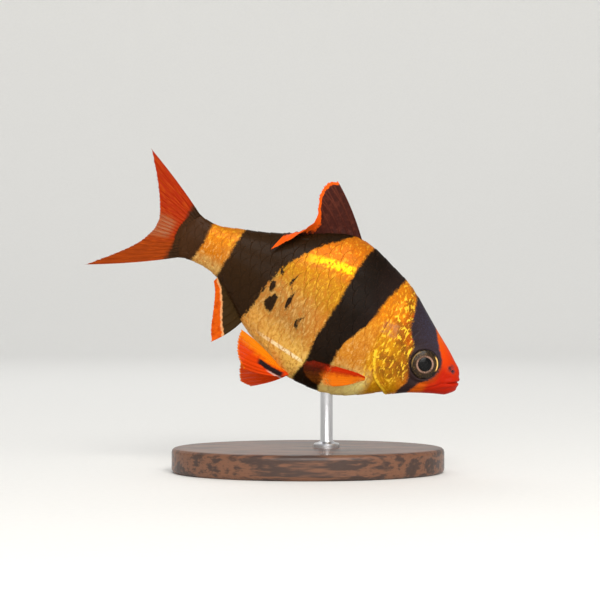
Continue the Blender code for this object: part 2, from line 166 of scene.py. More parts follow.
# Markings: the front and rear edges of the four bands as (height, behind), and where spots lie
markings = {
    "bands": [
        ([(-6, 6.6), (-5.1, 6.3), (-3.9, 5.8), (-2.2, 4.4), (-0.6, 3.8), (1.2, 4.1), (2.9, 5.4), (5.4, 7.1),
          (9, 9.0)],
         [(-6, 8.3), (-4.6, 7.7), (-3.2, 7.9), (-1.2, 9.0), (1.1, 9.2), (3.4, 10.9), (5.8, 11.4),
          (8.5, 12.2)]),
        ([(-11.6, 19.7), (-7.2, 19.6), (-4.4, 19.5), (1.1, 17.2), (5.2, 16.4), (9.3, 15.0), (11, 14.4)],
         [(-11.8, 24.1), (-8.3, 23.5), (-5.2, 23.8), (-0.1, 23.2), (4.8, 22.9), (8.2, 22.7), (12.5, 21.8)]),
        ([(-8.5, 36.0), (-4.7, 35.1), (-1.1, 34.5), (2.1, 33.7), (5.9, 31.8), (8.5, 29.7), (11.2, 27.0),
          (12.5, 25.6), (13, 24.4)],
         [(-8.5, 43.5), (-2.7, 42.4), (-0.3, 42.1), (3.1, 41.9), (5.6, 41.7)]),
        ([(-3.5, 47.4), (-2.2, 47.1), (1.2, 46.6), (3.9, 46.8), (5, 46.8)],
         [(-3.5, 50.5), (-1.1, 51.8), (1.2, 52.3), (4.8, 50.8)]),
    ],
    # behind, height, half width, half height, how far its ends turn forward, strength
    "spots": [
        (32.8, -3.0, 0.85, 1.4, 0.3, 1.0), (33.7, -0.4, 0.6, 0.8, 0.2, 1.0),
        (33.2, 2.2, 0.35, 0.6, 0.4, 0.9), (30.1, -1.4, 0.32, 1.5, 0.1, 0.85),
        (31.1, 1.6, 0.3, 1.3, 0.5, 0.85), (27.5, -3.9, 0.36, 1.1, 0.4, 0.5)],
    "spotSlope": 2.5,  # how fast a spot darkens inward
    "spotDepth": (0.9, -0.3),  # its deepest black: times its strength, plus
    "outside": -9.0,
    "raggedness": 0.12,  # how far a scale's own place sways the edge of a band
}
bandLines = [(smoothLine(front), smoothLine(rear)) for front, rear in markings["bands"]]


def darkness(place):
    # how deep inside the black a place lies, in mm, and less than nothing outside it
    behind, height = place[..., 0], place[..., 2]
    depth = np.full(behind.shape, markings["outside"])
    for front, rear in bandLines:
        depth = np.maximum(depth, np.minimum(behind - front(height), rear(height) - behind))
    most, less = markings["spotDepth"]
    for at, up, wide, tall, curl, strength in markings["spots"]:
        rise = (height - up) / tall
        away = np.hypot((behind - at + curl * rise**2) / wide, rise)
        spot = np.minimum((1 - away) * wide * markings["spotSlope"], most * strength + less)
        depth = np.maximum(depth, spot)
    return depth

# Materials
def tone(red, green, blue):  # a colour as the eye reads it, 0 to 255, as the light it stands for
    return tuple(((c / 255 + 0.055) / 1.055) ** 2.4 for c in (red, green, blue)) + (1.0,)


class Value:
    def __init__(self, paint, socket):
        self.paint = paint
        self.socket = socket

    def math(self, operation, one, other):
        return self.paint.node("Math", {"operation": operation}, {0: one, 1: other})

    def __add__(self, other):
        return self.math("ADD", self, other)

    def __sub__(self, other):
        return self.math("SUBTRACT", self, other)

    def __rsub__(self, other):
        return self.math("SUBTRACT", other, self)

    def __mul__(self, other):
        return self.math("MULTIPLY", self, other)

    def __truediv__(self, other):
        return self.math("DIVIDE", self, other)

    def __rtruediv__(self, other):
        return self.math("DIVIDE", other, self)

    __radd__ = __add__
    __rmul__ = __mul__


class Paint:
    def __init__(self, name, look, **constants):
        self.look = look
        self.material = bpy.data.materials.new(name)
        self.material.use_nodes = True
        self.tree = self.material.node_tree
        self.shader = self.tree.nodes["Principled BSDF"]
        for socket, value in constants.items():
            self.shader.inputs[socket.replace("_", " ")].default_value = value

    def node(self, kind, settings=None, inputs=None, output=0):
        made = self.tree.nodes.new("ShaderNode" + kind)
        for key, value in (settings or {}).items():
            if key == "stops":
                elements = made.color_ramp.elements
                while len(elements) < len(value):
                    elements.new(0.5)
                for element, (at, colour) in zip(elements, value):
                    element.position = at
                    element.color = colour
            else:
                setattr(made, key, value)
        for key, value in (inputs or {}).items():
            if isinstance(value, Value):
                self.tree.links.new(value.socket, made.inputs[key])
            else:
                made.inputs[key].default_value = value
        return Value(self, made.outputs[output])

    def attribute(self, name, output="Fac"):
        return self.node("Attribute", {"attribute_name": name}, output=output)

    def parts(self, vector):
        return [self.node("SeparateXYZ", None, {0: vector}, output=i) for i in range(3)]

    def stretched(self, vector, by):
        return self.node("VectorMath", {"operation": "MULTIPLY"}, {0: vector, 1: by})

    def noise(self, vector, scale, detail=2.0, roughness=0.5):
        return self.node("TexNoise", None, {"Vector": vector, "Scale": scale, "Detail": detail,
                                            "Roughness": roughness})

    def step(self, value, low, high):  # 0 at low, 1 at high, also where low is the larger
        return self.node("MapRange", {"interpolation_type": "SMOOTHSTEP"},
                         {"Value": value, "From Min": low, "From Max": high})

    def between(self, value, start, low, high, end):
        return self.step(value, start, low) * self.step(value, end, high)

    def mix(self, factor, one, other):  # colours can be named as in the paint's look
        one, other = (self.look[key] if isinstance(key, str) else key for key in (one, other))
        return self.node("Mix", {"data_type": "RGBA"}, {0: factor, 6: one, 7: other}, 2)

    def layers(self, colour, *layers):  # each layer is a mask and the colour that it lays over the last
        for mask, other in layers:
            colour = self.mix(mask, colour, other)
        return colour

    def ramp(self, factor, stops):
        return self.node("ValToRGB", {"stops": stops}, {0: factor})

    def sine(self, value):
        return self.node("Math", {"operation": "SINE"}, {0: value})

    def bumped(self, height, strength, distance):
        return self.node("Bump", None, {"Height": height, "Strength": strength, "Distance": distance})

    def feed(self, **sockets):
        for socket, value in sockets.items():
            self.tree.links.new(value.socket, self.shader.inputs[socket.replace("_", " ")])
        return self.material


skinLook = {
    "snout": tone(177, 31, 5),
    "snoutTop": tone(209, 60, 4),
    "cheek": tone(206, 92, 12),
    "gill": tone(196, 134, 12),
    "gillDeep": tone(118, 68, 12),
    "gillEdge": tone(250, 205, 50),
    "gillUpper": tone(152, 112, 90),
    "underEye": tone(204, 92, 14),
    "nape": tone(207, 117, 8),
    "flankFront": tone(196, 126, 34),
    "dorsalOrange": tone(190, 97, 1),
    # a painted highlight: the bright streak high on the flank
    "yellowStreak": tone(248, 206, 4),
    "flank": tone(162, 117, 54),
    "flankLow": tone(208, 146, 66),
    "belly": tone(233, 184, 83),
    # the front of the belly: its own pale cream, made brighter still as painted light on the underside, which
    # faces down
    "bellyFront": tone(255, 240, 152),
    # a painted highlight: the pale line low on the flank
    "bellyLine": tone(255, 240, 196),
    "flankGold": tone(160, 110, 4),
    "gillRed": tone(160, 56, 6),
    "peduncle": tone(192, 110, 9),
    "peduncleLow": tone(193, 149, 79),
    "amber": tone(168, 92, 22),
    # painted glints: the colours of the scales' painted highlights, yellow and pale
    "glint": tone(242, 190, 50),
    "paleGlint": tone(230, 186, 116),
    "bands": [(0.0, tone(60, 46, 48)), (0.24, tone(40, 28, 26)), (0.38, tone(17, 9, 2)),
              (0.6, tone(34, 20, 6)), (0.78, tone(42, 25, 7)), (0.95, tone(58, 34, 15))],
    "sheen": tone(60, 68, 96),
    "bandSpeck": tone(80, 46, 16),
}


# Where the colours lie: zones start, are full, are full no more and end, in mm behind the snout
skinZones = {
    "length": 52.0,
    # along the back, the flank and the belly, over the share of that length
    "upper": [(0.0, "snout"), (0.075, "snoutTop"), (0.14, "cheek"), (0.2, "nape"), (0.36, "nape"),
              (0.44, "dorsalOrange"), (0.58, "dorsalOrange"), (0.72, "flank"), (0.84, "peduncle"),
              (1.0, "peduncle")],
    "middle": [(0.0, "snout"), (0.06, "snout"), (0.11, "cheek"), (0.17, "gillDeep"), (0.24, "gill"),
               (0.282, "gill"), (0.3, "flankFront"), (0.42, "flankFront"), (0.52, "flank"),
               (0.74, "flank"), (0.84, "peduncle"), (1.0, "peduncle")],
    "lower": [(0.0, "snout"), (0.08, "snout"), (0.13, "cheek"), (0.18, "gill"), (0.24, "gill"),
              (0.27, "bellyFront"), (0.5, "belly"), (0.7, "flankLow"), (0.82, "peduncleLow"),
              (1.0, "peduncleLow")],
    # patches, each with a second zone upward
    "flankGold": [(20.0, 23.0, 33.0, 37.0), (0.0, 0.2, 0.42, 0.62)],
    "gillRed": [(8.5, 9.5, 12.0, 13.0), (0.2, 1.6, 5.2, 6.6)],
    "gillUpper": [(12.0, 13.0, 14.6, 15.6), (0.4, 1.2, 2.6, 3.4)],
    "yellowStreak": [(22.4, 23.6, 27.5, 32.5), (10.5, 11.0, 11.8, 12.5)],
    "bellyLine": [(23.6, 25.0, 28.0, 34.0), (-12.0, -11.75, -11.45, -11.2)],
    "gillDeep": (8.0, 9.0, 13.0, 14.5),
    "underEye": (4.0, 5.3, 6.5, 7.5),
    "gilled": (7.5, 9.0, 14.0, 16.0),
    "ragged": (26.0, 29.0, 35.0, 38.0),
    "streakSlope": 0.167,  # how the painted highlight streak high on the flank and the painted highlight line low on it climb towards the tail
    "lineSlope": 0.104,
}


def makeSkinPaint(name, plated):
    zones = skinZones
    paint = Paint(name, skinLook, Coat_Weight=0.03, Coat_Roughness=0.12, Specular_IOR_Level=0.05)
    step, between = paint.step, paint.between
    place = paint.attribute("place", "Vector")
    behind, _, height = paint.parts(place)
    rounded = paint.attribute("rounded")  # 1 at the back, -1 at the belly
    speckle = paint.noise(place, 1.5, 3.0, 0.6)
    dashes = paint.noise(paint.stretched(place, (1.0, 1.0, 0.42)), 2.7, 2.0, 0.6)
    fine = paint.noise(place, 6.5, 3.0, 0.65)
    blotch = paint.noise(place, 0.55, 2.0, 0.5)
    sway = speckle - 0.5

    def patch(name, up):
        alongZone, upZone = zones[name]
        return between(behind, *alongZone) * between(up, *upZone)

    reach = behind / zones["length"]
    upper, middle, lower = (paint.ramp(reach, [(at, skinLook[key]) for at, key in zones[side]])
                            for side in ("upper", "middle", "lower"))
    level = rounded + sway * 0.35
    deep = step(blotch, 0.46, 0.56) * between(behind, *zones["gillDeep"]) * step(height, -6.5, -4.0)
    under = between(behind, *zones["underEye"]) * step(height + sway * 1.2, -2.6, -3.6)
    streak = height + behind * zones["streakSlope"] + sway * 0.8
    lowLine = height - behind * zones["lineSlope"] + sway * 0.3
    golden = step(behind - rounded * 1.2, 7.2, 9.0)
    golden = golden * (1 - step(rounded, -0.6, -0.8) * step(behind, 24.0, 20.0) * 0.7)
    gilled = between(behind, *zones["gilled"])
    # the colour of the painted glints: yellow on the upper flank and the gill cover, paler lower down
    yellow = step(rounded, -0.1, 0.35) * (1 - gilled) + gilled
    paintedHighlight = paint.mix(yellow, "paleGlint", "glint")
    relief = fine * 0.6 + speckle * 0.4
    if plated:
        _, along, chance = paint.parts(paint.attribute("plate", "Vector"))
        marks = [(step(along, 0.8, 0.97) * 0.12, "amber"), (step(chance, 0.3, 1.0) * 0.15, "amber")]
        relief = relief * 0.5 + paint.sine(along * 75 + fine) * 0.1
    else:
        beads = step(paint.attribute("gillRim"), 0.7, 0.35) * step(speckle, 0.36, 0.46)
        marks = [(beads * 0.8, "gillEdge")]
    # the black bands, with their ragged edges, their specks and the head's sheen
    ragged = (dashes - 0.5) * between(behind, *zones["ragged"]) * 1.5
    black = step(paint.attribute("dark") + sway * 0.6 + (fine - 0.5) * 0.9 + ragged, -0.26, 0.24)
    sheen = step(rounded, 0.1, 0.9) * step(fine, 0.35, 0.7) * step(behind, 16.0, 8.0)
    bandTone = paint.layers(paint.ramp(reach, skinLook["bands"]),
                            (step(fine, 0.54, 0.7) * golden * 0.35, "bandSpeck"), (sheen * 0.5, "sheen"))
    colour = paint.layers(
        middle, (step(level, 0.12, 0.5), upper), (step(level, -0.3, -0.72), lower),
        (patch("flankGold", level) * 0.8, "flankGold"),
        # the head's reddish, dark and grey patches, and the orange under the eye
        (patch("gillRed", height) * 0.75, "gillRed"),
        (deep * 0.85, "gillDeep"),
        (patch("gillUpper", height) * step(speckle, 0.35, 0.6) * 0.6, "gillUpper"),
        (under * 0.8, "underEye"),
        # painted highlights: a bright streak high on the flank and a pale line low on it
        (patch("yellowStreak", streak) * step(dashes, 0.3, 0.46), "yellowStreak"),
        (patch("bellyLine", lowLine) * step(dashes, 0.32, 0.5) * 0.9, "bellyLine"),
        # gold that breaks up into dashes: darker amber ones, and brighter ones that are painted glints,
        # painted highlights on the scales; strongest on the nape and the gill cover
        (step(speckle, 0.5, 0.3) * golden * (0.35 + gilled * 0.4), "amber"),
        (step(dashes, 0.5, 0.36) * golden * 0.5, "amber"),
        (step(dashes, 0.54, 0.64) * golden * (0.35 + gilled * 0.65), paintedHighlight),
        *marks,
        (step(fine, 0.52, 0.7) * golden * (0.1 + step(rounded, -0.9, -0.3) * 0.2), "amber"),
        (step(fine, 0.46, 0.34) * golden * 0.25, paintedHighlight),
        (black, bandTone))
    return paint.feed(Base_Color=colour, Roughness=0.34 + fine * 0.25,
                      Metallic=(1 - black) * step(behind, 6.0, 9.0) * 0.3,
                      Normal=paint.bumped(relief, 0.3, 0.00006))

# Meshes
def gridNormals(points, wrap):
    along = np.gradient(points, axis=0)
    over = np.roll(points, -1, 1) - np.roll(points, 1, 1) if wrap else np.gradient(points, axis=1)
    return unit(np.cross(over, along))


def gridFaces(rows, columns, closed=False):
    # four-cornered faces over rows of points, joined round where the rows are closed
    i, j = np.meshgrid(np.arange(rows - 1), np.arange(columns if closed else columns - 1), indexing="ij")
    k = (j + 1) % columns
    faces = np.stack([i * columns + j, (i + 1) * columns + j, (i + 1) * columns + k, i * columns + k], -1)
    return faces.reshape(-1, 4)


def tubeFaces(rows, count):
    # closed rings with a fan at each end, whose two tips come after the rings' points
    ring = np.arange(count)
    after = (ring + 1) % count
    last = (rows - 1) * count
    first, final = np.full(count, rows * count), np.full(count, rows * count + 1)
    fans = np.concatenate([np.stack([ring, after, first], -1),
                           np.stack([last + after, last + ring, final], -1)])
    return gridFaces(rows, count, True), fans


def slab(rows, columns, share, maps):
    # a closed slab: the top's points, then the underside's, and its bake map from each point's share of it
    top = gridFaces(rows, columns)
    border = ([(0, j) for j in range(columns - 1)] + [(i, columns - 1) for i in range(rows - 1)]
              + [(rows - 1, j) for j in range(columns - 1, 0, -1)] + [(i, 0) for i in range(rows - 1, 0, -1)])
    ring = np.array([i * columns + j for i, j in border])
    after = np.roll(ring, -1)
    total = rows * columns
    faces = np.concatenate([top, top[:, ::-1] + total,
                            np.stack([ring, after, after + total, ring + total], -1)])
    upper, under, outer = (share * scale + shift for scale, shift in maps)
    bakeMap = np.concatenate([upper[top], under[top[:, ::-1]],
                              np.stack([outer[ring], outer[after], under[after], under[ring]], 1)])
    return faces, bakeMap.reshape(-1, 2)


def turned(profile, count):
    # the rings of a shape turned on an upright axis, from their (radius, height)
    turn = np.arange(count) * 2 * math.pi / count
    radius, height = np.array(profile)[:, :1], np.array(profile)[:, 1:]
    rings = np.stack(np.broadcast_arrays(radius * np.cos(turn), radius * np.sin(turn), height), -1)
    return rings.reshape(-1, 3)


def makeMesh(name, places, faceGroups, material, values=None, bakeMap=None, inWorld=False):
    points = places if inWorld else toWorld(places)
    faces = [face for group in faceGroups for face in np.asarray(group).tolist()]
    mesh = bpy.data.meshes.new(name)
    mesh.from_pydata(points.tolist(), [], faces)
    for key, value in (values or {}).items():
        kind, field = ("FLOAT_VECTOR", "vector") if value.ndim == 2 else ("FLOAT", "value")
        mesh.attributes.new(key, kind, "POINT").data.foreach_set(field, value.astype(float).ravel())
    if bakeMap is not None:
        mesh.uv_layers.new(name="OFBake").data.foreach_set("uv", bakeMap.ravel())
    mesh.materials.append(material)
    mesh.shade_smooth()
    thing = bpy.data.objects.new(name, mesh)
    bpy.context.scene.collection.objects.link(thing)
    return thing


def asPiece(thing, slot, *replaced):
    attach(thing, "root")
    if replaced:
        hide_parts(*replaced)
    print(thing.name + ":", len(thing.data.polygons), "faces")


skinShape = {
    "around": 240,
    "headRows": 200,
    "trunkRows": 150,
    "headReach": 14.0,
    # rows close to the gill opening, as shares of the head from its end and of the trunk
    "rimRows": [0.0015, 0.003, 0.008],
    "trunkRimRows": [0.0006, 0.0014, 0.0028, 0.005, 0.996, 0.999],
    "mapRows": (0.02, 0.98),  # the bake map's share between the two ends
    "farFromRim": 9,
    "rimTop": -2.0,  # the gill cover's bright rim ends here
    "gillCover": 0.2,
    "cheekRadius": 4.6,
    "mouth": (0.35, -0.95),
    "mouthSlope": math.radians(31),
    "nostrils": [(1.72, 0.42, 0.22), (2.2, 0.72, 0.3)],  # behind, up, radius
    "eyeRadius": 2.3,
    "eyeSetBack": 0.38,  # the solids' eye fills its socket, the seen one sits at its rear
    # grooves of the head: (behind, up) points, depth, half width
    "creases": [
        ([(9.5, 3.9), (10.2, 1.6), (10.3, -1.0), (9.6, -3.4), (8.2, -5.0)], 0.10, 0.16),
        ([(10.9, -5.9), (12.0, -4.9), (13.6, -3.6)], 0.07, 0.14),
        ([(2.9, -0.9), (3.6, -2.6), (5.2, -3.6), (7.3, -3.6), (8.8, -2.4)], 0.05, 0.18),
        ([(2.4, -2.1), (3.4, -3.2), (5.2, -4.5), (7.4, -5.6)], 0.08, 0.14),
    ],
}
irisBehind = eyeBehind + skinShape["eyeSetBack"]
eyeTurn = float(turnAt(irisBehind, eyeUp))
eyeCentre = section(irisBehind, eyeTurn)
eyeAxis = normalAt(irisBehind, eyeTurn)


def lineDistance(behind, height, points):
    path = lineThrough(points)(np.linspace(0, 1, 40))
    nearest = np.full(behind.shape, 99.0)
    for (x, y), (runX, runY) in zip(path[:-1], np.diff(path, axis=0)):
        t = ((behind - x) * runX + (height - y) * runY) / (runX**2 + runY**2)
        t = np.clip(t, 0, 1)
        nearest = np.minimum(nearest, np.hypot(behind - x - t * runX, height - y - t * runY))
    return nearest


def headRelief(place, turn):
    shape = skinShape
    behind, height = place[..., 0], place[..., 2]
    offset = place * (1, 0, 1) + np.abs(place) * (0, 1, 0) - eyeCentre
    fromEye = np.linalg.norm(np.cross(offset, eyeAxis), axis=-1)
    radius = shape["eyeRadius"]
    relief = 0.15 * hump(fromEye - radius - 0.3, 0.26)
    relief = relief - 0.09 * hump(fromEye - radius - 0.95, 0.3)
    relief = relief - 1.25 * ease(radius + 0.07, radius - 0.25, fromEye)
    edge = edgeAt(turn)
    cover = shape["gillCover"] * ease(shape["cheekRadius"], shape["cheekRadius"] + 1.2, fromEye)
    cover = cover * ease(6, 9.5, behind) * ease(6.5, 3.0, height)
    cover = cover * ease(edge + 0.02, edge - 0.16, behind)
    cover = cover - 0.05 * hump(behind - edge + 0.95, 0.14) * ease(4.5, 2.0, height)
    inset = fish["coatDepth"] * ease(edge - 0.02, edge + 0.08 + 0.9 * ease(3.0, 6.5, height), behind)
    mouthBehind, mouthUp = shape["mouth"]
    mouthLine = height - mouthUp + (behind - mouthBehind) * math.tan(shape["mouthSlope"])
    nearMouth = ease(2.95, 1.7, behind)
    lips = 0.14 * hump(np.abs(mouthLine) - 0.45, 0.36) - 0.05 * hump(np.abs(mouthLine) - 1.05, 0.25)
    lips = lips * nearMouth - 0.3 * hump(mouthLine, 0.12) * ease(1.9, 1.3, behind)
    nostrils = 0
    for at, up, size in shape["nostrils"]:
        away = np.hypot(behind - at, height - up) / size
        nostrils = nostrils - 0.3 * hump(away, 0.85) + 0.07 * hump(away - 1.5, 0.45)
    grooves = 0
    for points, depth, width in shape["creases"]:
        grooves = grooves - depth * hump(lineDistance(behind, height, points), width)
    throat = -0.16 * hump(np.abs(place[..., 1]) - 0.7, 0.16) * ease(-0.75, -0.95, np.sin(turn))
    throat = throat * ease(4.0, 6.0, behind) * ease(edge + 0.3, edge - 0.3, behind)
    return relief + cover - inset + lips + nostrils + grooves + throat


def makeSkin():
    shape = skinShape
    count = shape["around"]
    turn = (np.arange(count) + 0.5) * 2 * math.pi / count
    share = np.arange(1, shape["headRows"] + 1) / shape["headRows"]
    share = np.sort(np.concatenate([share, 1 - np.array(shape["rimRows"])]))
    plain = shape["headReach"] * (0.35 * (1 - np.cos(share * math.pi / 2)) + 0.65 * share**1.25)
    lean = ease(5.0, shape["headReach"], plain)[:, None]
    edge = edgeAt(turn)[None, :]
    head = plain[:, None] * (1 - lean + lean * edge / shape["headReach"])
    steps = np.arange(1, shape["trunkRows"] + 1) / shape["trunkRows"]
    steps = np.sort(np.concatenate([steps, shape["trunkRimRows"]]))
    trunk = edge + (tailEnd(turn)[None, :] - edge) * steps[:, None]
    behind = np.concatenate([head, trunk])
    around = np.broadcast_to(turn, behind.shape)
    smooth = section(behind, around)
    normal = gridNormals(smooth, True)
    soft = np.clip((tailEnd(around) - behind) / fish["tailTaper"], 0.1, 1)
    place = smooth + normal * (headRelief(smooth, around) * soft)[..., None]
    ends = [(0.0, 0.0, fish["widest"][0][1]), (tailEnd(0), 0.0, fish["widest"][-1][1])]
    points = np.concatenate([place.reshape(-1, 3), ends])
    # the bake map is the skin unrolled, split along one flank's middle
    rows = len(behind)
    first, last = shape["mapRows"]
    u, v = np.meshgrid(np.arange(count + 1) / count, np.linspace(first, last, rows))
    quadMap = np.stack([u, v], -1).reshape(-1, 2)[gridFaces(rows, count + 1)]
    ring = np.arange(count)[:, None]
    fanU = np.concatenate([ring + (0, 1, 0.5), ring + (1, 0, 0.5)]) / count
    fanV = np.repeat([(first, first, 0.0), (last, last, 1.0)], count, axis=0)
    bakeMap = np.concatenate([quadMap.reshape(-1, 2), np.stack([fanU, fanV], -1).reshape(-1, 2)])
    flat = np.concatenate([smooth.reshape(-1, 3), ends])
    far = shape["farFromRim"]
    rim = np.where((edge - behind < -0.05) | (smooth[..., 2] > shape["rimTop"]), far, edge - behind)
    dark = darkness(flat)
    # the nostrils' pits are painted dark as well: painted shade in the openings
    for at, up, size in shape["nostrils"]:
        dark = np.maximum(dark, 0.26 - 0.2 * np.hypot(flat[:, 0] - at, flat[:, 2] - up) / size)
    values = {"place": flat, "dark": dark, "gillRim": np.append(rim.ravel(), [far, far]),
              "rounded": np.append(np.sin(around).ravel(), [0, 0])}
    thing = makeMesh("skin", points, tubeFaces(rows, count), makeSkinPaint("wetSkin", False), values, bakeMap)
    asPiece(thing, "skin", "head", "trunk", "tail_stalk")


makeSkin()

# Scales: plates in rows along the flank, each row half a scale out of step with the next
scaleShape = {
    "middleRow": [(10, 1.4), (16, 0.9), (25, -0.4), (33, -0.3), (40, 0.5), (44, 0.7), (52, 0.6)],
    "rowStep": [(10, 1.75), (18, 2.25), (28, 2.3), (38, 1.85), (45, 1.5), (52, 1.25)],
    "columnStep": [(10, 1.7), (16, 2.0), (26, 2.1), (40, 1.8), (52, 1.35)],
    "start": 9.0,  # where the first column stands
    "rootReach": 1.5,  # in half columns, from a scale's middle forward to its root
    "rearReach": 1.2,
    "halfHeight": 0.98,  # in rows
    "lift": 0.1,  # how high the free rear edge stands over the root
    "thickness": 0.02,
    "cells": (17, 11),  # grid of points along and across a scale
    "wobble": 0.18,
    "crown": 0.02,
    "ridgeLift": 0.04,  # the rows on the back and the belly lie over the others
    # scale and shift of the bake map: upper side, underside, edge
    "cellMap": [((0.74, 0.86), (0.04, 0.07)), ((0.12, 0.8), (0.84, 0.1)), ((0.15, 0.86), (0.825, 0.07))],
}
middleRow, rowStep, columnStep = (smoothLine(scaleShape[key]) for key in
                                  ("middleRow", "rowStep", "columnStep"))
flankMap = {"behind": np.arange(8, 53.01, 0.25), "arc": np.arange(-24, 24.01, 0.1)}


def fillFlankMap():
    # the angle round the body for a place behind the snout and a length along the skin from the middle row
    turn = np.linspace(-math.pi / 2 - 0.9, math.pi / 2 + 0.9, 700)
    rows = []
    for behind in flankMap["behind"]:
        place = section(behind, turn)
        arc = np.concatenate([[0], np.cumsum(np.linalg.norm(np.diff(place, axis=0), axis=-1))])
        arc -= np.interp(turnAt(behind, middleRow(behind)), turn, arc)
        rows.append(np.interp(flankMap["arc"], arc, turn))
    flankMap["turn"] = np.array(rows)
    for key, middle in (("back", math.pi / 2), ("belly", -math.pi / 2)):
        flankMap[key] = np.array([np.interp(middle, row, flankMap["arc"]) for row in rows])


def rowStart(kind, behind):  # where rows of this kind are counted from, along the skin
    return 0 if kind == "flank" else np.interp(behind, flankMap["behind"], flankMap[kind])


def turnOnFlank(behind, arc):
    x = np.clip((behind - flankMap["behind"][0]) / 0.25, 0, len(flankMap["behind"]) - 1.001)
    y = np.clip((arc - flankMap["arc"][0]) / 0.1, 0, len(flankMap["arc"]) - 1.001)
    i, j = x.astype(int), y.astype(int)
    p, q = x - i, y - j
    turn = flankMap["turn"]
    return ((1 - p) * ((1 - q) * turn[i, j] + q * turn[i, j + 1])
            + p * ((1 - q) * turn[i + 1, j] + q * turn[i + 1, j + 1]))


def makeColumns():
    # where each half column stands
    places = [scaleShape["start"]]
    while places[-1] < 54:
        places.append(places[-1] + float(columnStep(places[-1])) / 2)
    return np.array(places)


def plateTemplate():
    # one scale as a slab over (along, across)
    shape = scaleShape
    long, wide = shape["cells"]
    along = np.linspace(0, 1, long)[:, None] ** 0.8
    across = np.linspace(-1, 1, wide)[None, :]
    rear = -0.3 + shape["rootReach"] * np.sqrt(1 - (across * 0.995) ** 2)
    x = -shape["rootReach"] + (rear + shape["rootReach"]) * along
    y = np.broadcast_to(across * shape["halfHeight"], x.shape)
    share = np.stack([np.broadcast_to(along, x.shape), (y / shape["halfHeight"] + 1) / 2], -1)
    return x, y, *slab(long, wide, share.reshape(-1, 2), shape["cellMap"])


def findPlates(columns):
    # the scales as (half column, row, what the row is counted from)
    kept = []
    for i in range(3, len(columns) - 4):
        behind = columns[i]
        step = float(rowStep(behind))
        low, high = rowStart("belly", behind) + 0.45 * step, rowStart("back", behind) - 0.45 * step
        found = [(row, "flank") for row in range(-9, 10) if (i + row) % 2 == 0 and low < row * step < high]
        if i % 2 == 0:
            found += [(0, "back"), (0, "belly")]
        for row, kind in found:
            turn = float(turnOnFlank(np.array(behind), np.array(rowStart(kind, behind) + row * step)))
            if columns[i + 1] > edgeAt(turn) + 0.2 and behind < tailEnd(turn) - 0.5:
                kept.append((i, row, kind))
    return kept


def makeScales():
    shape = scaleShape
    fillFlankMap()
    columns = makeColumns()
    x, y, faces, cellMap = plateTemplate()
    plates = findPlates(columns)
    paint = makeSkinPaint("wetScales", True)
    half = len(columns) // 2
    share = (x + shape["rootReach"]) / (shape["rootReach"] + shape["rearReach"])
    along = np.clip(share / np.clip(share[-1:, :], 0.2, 1), 0, 1)
    mapCells = (half + 6, 21)
    mapRows = {"flank": 9, "back": 19, "belly": 20}
    for side, sideName in ((1, "Left"), (-1, "Right")):
        cell = cellMap.reshape(-1, 4, 2)[:, ::side].reshape(-1, 2)
        for part, partName in ((0, "Front"), (1, "Rear")):
            group = [p for p in plates if (p[0] >= half) == bool(part) and (side == 1 or p[2] == "flank")]
            parts = {key: [] for key in ("points", "place", "dark", "rounded", "plate", "faces", "map")}
            for number, (i, row, kind) in enumerate(group):
                tint, tip = rng.random(2)
                behind = np.interp(i + x, np.arange(len(columns)), columns)
                turn = turnOnFlank(behind, rowStart(kind, behind) + (row + y) * rowStep(behind))
                place = section(behind, turn)
                normal = normalAt(behind, turn)
                rise = shape["lift"] * (1 + shape["wobble"] * (tip - 0.5)) * share
                rise = rise + shape["crown"] * (1 - (y / shape["halfHeight"]) ** 2)
                rise = rise + (0 if kind == "flank" else shape["ridgeLift"])
                soft = np.clip((tailEnd(turn) - behind) / fish["tailTaper"], 0.35, 1)
                low = place + normal * ((rise - fish["coatDepth"]) * soft)[..., None]
                high = low + normal * shape["thickness"]
                swayed = place + (place.mean((0, 1), keepdims=True) - place) * markings["raggedness"]
                plate = np.stack([y, along, np.full(x.shape, tint)], -1)
                parts["points"] += [high.reshape(-1, 3), low.reshape(-1, 3)]
                for key, value in (("place", place), ("dark", darkness(swayed)), ("rounded", np.sin(turn)),
                                   ("plate", plate)):
                    parts[key] += [value.reshape(x.size, -1)] * 2
                parts["faces"].append(faces[:, ::side] + number * 2 * x.size)
                corner = np.array((i - part * half, row + mapRows[kind])) / mapCells
                parts["map"].append(corner + cell * (2 / mapCells[0], 1 / mapCells[1]))
            joined = {key: np.concatenate(value) for key, value in parts.items()}
            values = {key: joined[key].squeeze() for key in ("place", "dark", "rounded", "plate")}
            values["place"] = values["place"] * (1, side, 1)
            thing = makeMesh("scales" + sideName + partName, joined["points"] * (1, side, 1),
                             [joined["faces"]], paint, values, joined["map"])
            asPiece(thing, "skin")


makeScales()

# Fins: each is place(across, out), both from 0 to 1, on a sheet that starts inside the body
finShape = {
    "columns": 14,  # points between one ray and the next
    "rows": 80,
    "membrane": 0.045,  # half thickness, in mm
    "ray": 0.15,  # half thickness of a ray at its root
    "rayWidth": 0.17,
    "forks": [(0.34, 0.25), (0.66, 0.125)],  # where rays branch, and how far, in ray spacings
    "scallop": 0.022,
    "fray": 0.012,
    "cellMap": [((0.46, 0.94), (0.02, 0.03)), ((0.46, 0.94), (0.52, 0.03)), ((0.47, 0.96), (0.515, 0.02))],
    "sheath": 0.26,  # the flesh round a fin's root
    "sheathReach": 0.8,
    "ripple": 0.05,
}


def bentRay(root, bend, tip, out):
    return (1 - out) ** 2 * root + 2 * out * (1 - out) * bend + out**2 * tip


def finPoint(behind, side, height):
    return np.stack(np.broadcast_arrays(behind, side, height), -1).astype(float)


